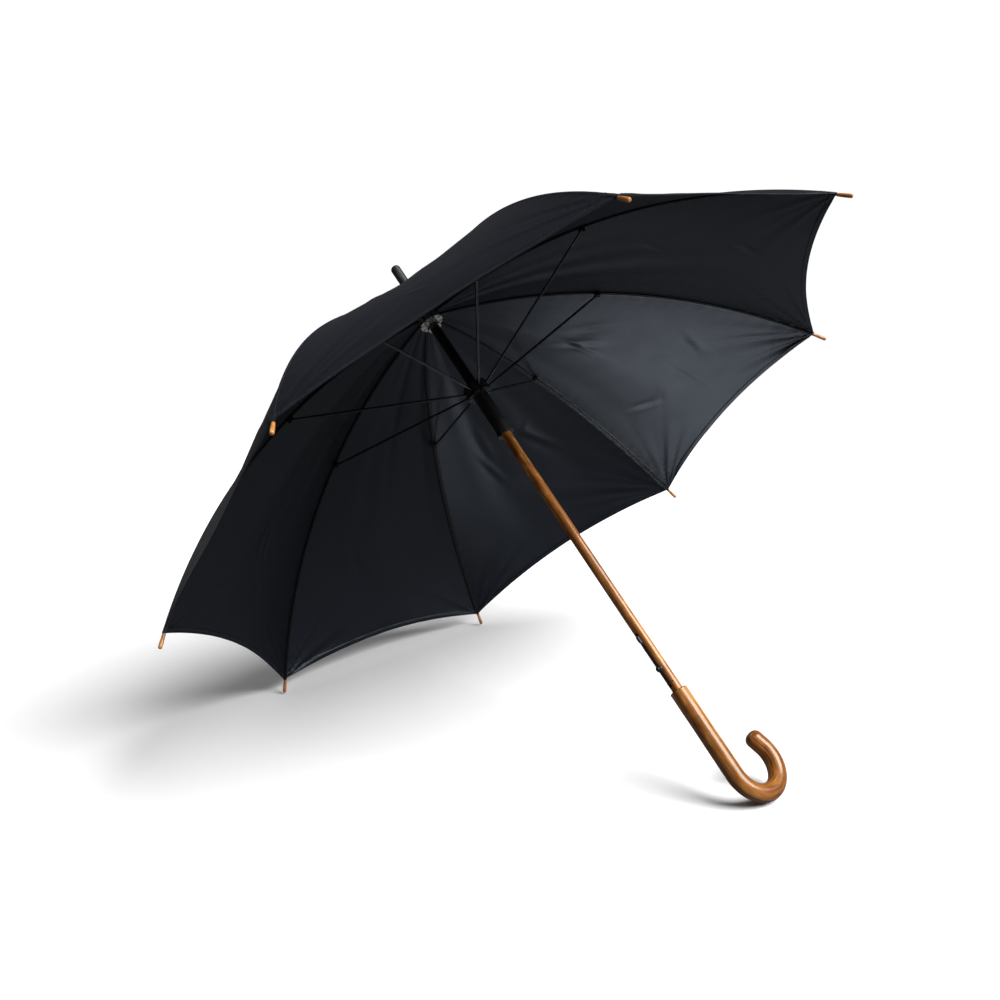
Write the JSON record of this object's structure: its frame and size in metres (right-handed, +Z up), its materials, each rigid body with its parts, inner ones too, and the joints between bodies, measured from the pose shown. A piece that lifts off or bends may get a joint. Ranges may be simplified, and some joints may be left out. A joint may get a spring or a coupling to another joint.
{
  "type": "stick umbrella",
  "caption": "Open stick umbrella with a bent wooden crook handle, wooden shaft, folding steel ribs, black cloth canopy and push-button opener.",
  "frame": {"origin": "on the shaft's axis, level with the crook's lowest point", "axes": "+Z up the shaft to the ferrule; the crook bends towards +X; the push button is on the -X side"},
  "size_m": [0.9546, 0.9546, 0.88],
  "materials": {
    "black_cloth": "woven polyester, slight sheen",
    "tip_wood": "satin varnish",
    "black_steel": "black enamel, satin",
    "grey_steel": "plain drawn steel",
    "shaft_wood": "varnished, semi-gloss",
    "handle_wood": "varnished, semi-gloss",
    "black_plastic": "moulded, satin",
    "plated_steel": "bright plated",
    "spring_steel": "oiled wire"
  },
  "bodies": {
    "root": {"shaft": "shaft_wood", "crook_handle": "handle_wood", "ferrule": "black_plastic", "crown_cap": "black_plastic", "top_notch": "plated_steel", "notch_wire": "plated_steel", "stop_peg": "plated_steel", "spring_anchor": "spring_steel", "opening_spring": "spring_steel", "button_housing": "black_plastic", "catch_pin": "spring_steel", "catch_spring": "spring_steel"},
    "runner": {"runner": "black_plastic", "runner_wire": "plated_steel", "runner_pin": "spring_steel", "spring_slider": "black_plastic"},
    "button": {"push_button": "black_plastic"},
    "catch": {"runner_catch": "spring_steel"},
    "rib_1": {"rib_1": "black_steel", "rib_tip_1": "tip_wood", "rib_joiner_1": "black_steel", "canopy_1": "black_cloth", "tie_strap": "black_cloth", "strap_snap": "plated_steel"},
    "stretcher_1": {"stretcher_1": "grey_steel"},
    "rib_2": {"rib_2": "black_steel", "rib_tip_2": "tip_wood", "rib_joiner_2": "black_steel", "canopy_2": "black_cloth"},
    "stretcher_2": {"stretcher_2": "grey_steel"},
    "rib_3": {"rib_3": "black_steel", "rib_tip_3": "tip_wood", "rib_joiner_3": "black_steel", "canopy_3": "black_cloth"},
    "stretcher_3": {"stretcher_3": "grey_steel"},
    "rib_4": {"rib_4": "black_steel", "rib_tip_4": "tip_wood", "rib_joiner_4": "black_steel", "canopy_4": "black_cloth"},
    "stretcher_4": {"stretcher_4": "grey_steel"},
    "rib_5": {"rib_5": "black_steel", "rib_tip_5": "tip_wood", "rib_joiner_5": "black_steel", "canopy_5": "black_cloth"},
    "stretcher_5": {"stretcher_5": "grey_steel"},
    "rib_6": {"rib_6": "black_steel", "rib_tip_6": "tip_wood", "rib_joiner_6": "black_steel", "canopy_6": "black_cloth"},
    "stretcher_6": {"stretcher_6": "grey_steel"},
    "rib_7": {"rib_7": "black_steel", "rib_tip_7": "tip_wood", "rib_joiner_7": "black_steel", "canopy_7": "black_cloth"},
    "stretcher_7": {"stretcher_7": "grey_steel"},
    "rib_8": {"rib_8": "black_steel", "rib_tip_8": "tip_wood", "rib_joiner_8": "black_steel", "canopy_8": "black_cloth"},
    "stretcher_8": {"stretcher_8": "grey_steel"}
  },
  "joints": [
    {"name": "runner_slide", "type": "slide", "parent": "root", "child": "runner", "axis": [0, 0, 1], "range_m": [-0.32793, 0], "stiffness_N_per_m": 40, "springref_m": 0.45, "deforming": ["opening_spring", "canopy_1", "canopy_2", "canopy_3", "canopy_4", "canopy_5", "canopy_6", "canopy_7", "canopy_8", "tie_strap"]},
    {"name": "rib_fold_1", "type": "hinge", "parent": "root", "child": "rib_1", "pos_m": [0.01423, 0.00589, 0.7807], "axis": [-0.3827, 0.9239, 0], "range_deg": [0, 59.51]},
    {"name": "stretcher_fold_1", "type": "hinge", "parent": "rib_1", "child": "stretcher_1", "pos_m": [0.2255, 0.0934, 0.71354], "axis": [-0.3827, 0.9239, 0], "range_deg": [-119.02, 0]},
    {"name": "rib_fold_2", "type": "hinge", "parent": "root", "child": "rib_2", "pos_m": [0.00589, 0.01423, 0.7807], "axis": [-0.9239, 0.3827, 0], "range_deg": [0, 59.51]},
    {"name": "stretcher_fold_2", "type": "hinge", "parent": "rib_2", "child": "stretcher_2", "pos_m": [0.0934, 0.2255, 0.71354], "axis": [-0.9239, 0.3827, 0], "range_deg": [-119.02, 0]},
    {"name": "rib_fold_3", "type": "hinge", "parent": "root", "child": "rib_3", "pos_m": [-0.00589, 0.01423, 0.7807], "axis": [-0.9239, -0.3827, 0], "range_deg": [0, 59.51]},
    {"name": "stretcher_fold_3", "type": "hinge", "parent": "rib_3", "child": "stretcher_3", "pos_m": [-0.0934, 0.2255, 0.71354], "axis": [-0.9239, -0.3827, 0], "range_deg": [-119.02, 0]},
    {"name": "rib_fold_4", "type": "hinge", "parent": "root", "child": "rib_4", "pos_m": [-0.01423, 0.00589, 0.7807], "axis": [-0.3827, -0.9239, 0], "range_deg": [0, 59.51]},
    {"name": "stretcher_fold_4", "type": "hinge", "parent": "rib_4", "child": "stretcher_4", "pos_m": [-0.2255, 0.0934, 0.71354], "axis": [-0.3827, -0.9239, 0], "range_deg": [-119.02, 0]},
    {"name": "rib_fold_5", "type": "hinge", "parent": "root", "child": "rib_5", "pos_m": [-0.01423, -0.00589, 0.7807], "axis": [0.3827, -0.9239, 0], "range_deg": [0, 59.51]},
    {"name": "stretcher_fold_5", "type": "hinge", "parent": "rib_5", "child": "stretcher_5", "pos_m": [-0.2255, -0.0934, 0.71354], "axis": [0.3827, -0.9239, 0], "range_deg": [-119.02, 0]},
    {"name": "rib_fold_6", "type": "hinge", "parent": "root", "child": "rib_6", "pos_m": [-0.00589, -0.01423, 0.7807], "axis": [0.9239, -0.3827, 0], "range_deg": [0, 59.51]},
    {"name": "stretcher_fold_6", "type": "hinge", "parent": "rib_6", "child": "stretcher_6", "pos_m": [-0.0934, -0.2255, 0.71354], "axis": [0.9239, -0.3827, 0], "range_deg": [-119.02, 0]},
    {"name": "rib_fold_7", "type": "hinge", "parent": "root", "child": "rib_7", "pos_m": [0.00589, -0.01423, 0.7807], "axis": [0.9239, 0.3827, 0], "range_deg": [0, 59.51]},
    {"name": "stretcher_fold_7", "type": "hinge", "parent": "rib_7", "child": "stretcher_7", "pos_m": [0.0934, -0.2255, 0.71354], "axis": [0.9239, 0.3827, 0], "range_deg": [-119.02, 0]},
    {"name": "rib_fold_8", "type": "hinge", "parent": "root", "child": "rib_8", "pos_m": [0.01423, -0.00589, 0.7807], "axis": [0.3827, 0.9239, 0], "range_deg": [0, 59.51]},
    {"name": "stretcher_fold_8", "type": "hinge", "parent": "rib_8", "child": "stretcher_8", "pos_m": [0.2255, -0.0934, 0.71354], "axis": [0.3827, 0.9239, 0], "range_deg": [-119.02, 0]},
    {"name": "button_press", "type": "slide", "parent": "root", "child": "button", "axis": [1, 0, 0], "range_m": [0, 0.001], "stiffness_N_per_m": 600, "springref_m": -0.002},
    {"name": "catch_release", "type": "hinge", "parent": "root", "child": "catch", "pos_m": [-0.0049, 0, 0.178], "axis": [0, 1, 0], "range_deg": [0, 2.74], "deforming": ["catch_spring"]}
  ],
  "couplings": [
    {"joint": "rib_fold_1", "follows": "runner_slide", "rad_per_m": -3.1668},
    {"joint": "stretcher_fold_1", "follows": "runner_slide", "rad_per_m": 6.3336},
    {"joint": "rib_fold_2", "follows": "runner_slide", "rad_per_m": -3.1668},
    {"joint": "stretcher_fold_2", "follows": "runner_slide", "rad_per_m": 6.3336},
    {"joint": "rib_fold_3", "follows": "runner_slide", "rad_per_m": -3.1668},
    {"joint": "stretcher_fold_3", "follows": "runner_slide", "rad_per_m": 6.3336},
    {"joint": "rib_fold_4", "follows": "runner_slide", "rad_per_m": -3.1668},
    {"joint": "stretcher_fold_4", "follows": "runner_slide", "rad_per_m": 6.3336},
    {"joint": "rib_fold_5", "follows": "runner_slide", "rad_per_m": -3.1668},
    {"joint": "stretcher_fold_5", "follows": "runner_slide", "rad_per_m": 6.3336},
    {"joint": "rib_fold_6", "follows": "runner_slide", "rad_per_m": -3.1668},
    {"joint": "stretcher_fold_6", "follows": "runner_slide", "rad_per_m": 6.3336},
    {"joint": "rib_fold_7", "follows": "runner_slide", "rad_per_m": -3.1668},
    {"joint": "stretcher_fold_7", "follows": "runner_slide", "rad_per_m": 6.3336},
    {"joint": "rib_fold_8", "follows": "runner_slide", "rad_per_m": -3.1668},
    {"joint": "stretcher_fold_8", "follows": "runner_slide", "rad_per_m": 6.3336},
    {"joint": "catch_release", "follows": "button_press", "rad_per_m": 47.619}
  ]
}
